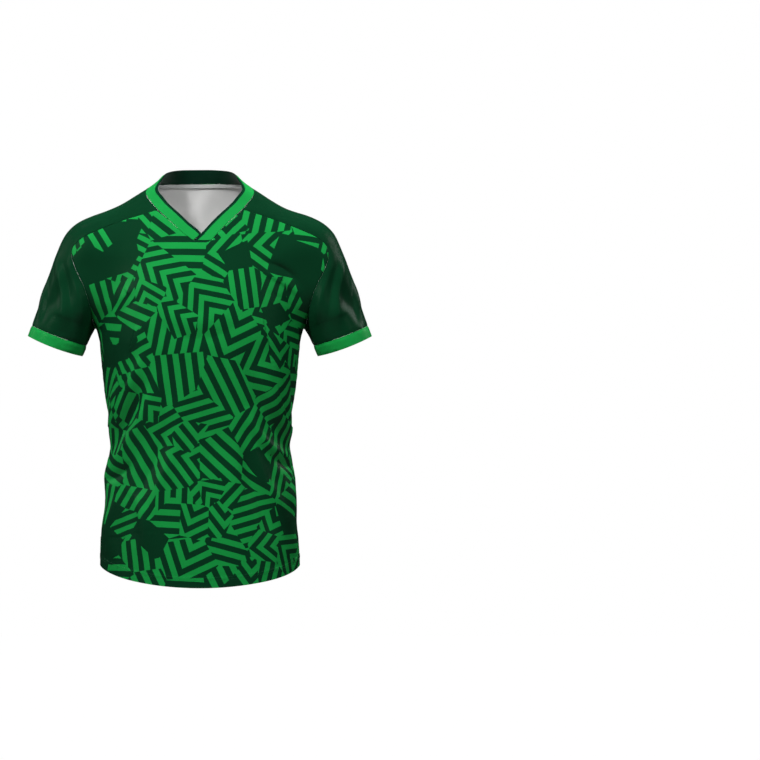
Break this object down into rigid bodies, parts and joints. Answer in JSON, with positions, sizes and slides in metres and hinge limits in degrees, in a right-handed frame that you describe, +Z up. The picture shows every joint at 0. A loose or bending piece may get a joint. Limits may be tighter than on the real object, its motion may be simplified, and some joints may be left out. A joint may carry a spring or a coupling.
{
  "type": "football jersey",
  "caption": "Short-sleeved football jersey with a crossed V-neck collar, sleeves cut in one with the shoulders, and banded cuffs, filled out as if worn, with open neck, cuffs and hem.",
  "frame": {"origin": "the middle of the neck's base, level with the tops of the shoulders, where the wearer's shoulders hold the jersey up", "axes": "+Z up, -Y towards the front of the jersey, +X towards the wearer's left"},
  "size_m": [0.6176, 0.2305, 0.7481],
  "materials": {
    "printed_cloth": "smooth polyester knit printed in two greens, white inside",
    "sleeve_cloth": "smooth dark green polyester knit",
    "cuff_cloth": "bright green polyester knit, doubled",
    "collar_cloth": "bright green polyester knit, doubled",
    "facing_cloth": "dark green polyester knit",
    "tape_cloth": "pale woven tape"
  },
  "bodies": {
    "root": {"front_panel": "printed_cloth", "back_panel": "printed_cloth", "sleeve_left": "sleeve_cloth", "sleeve_right": "sleeve_cloth", "cuff_left": "cuff_cloth", "cuff_right": "cuff_cloth", "collar": "collar_cloth", "collar_facing": "facing_cloth", "neck_tape": "tape_cloth"}
  },
  "joints": []
}
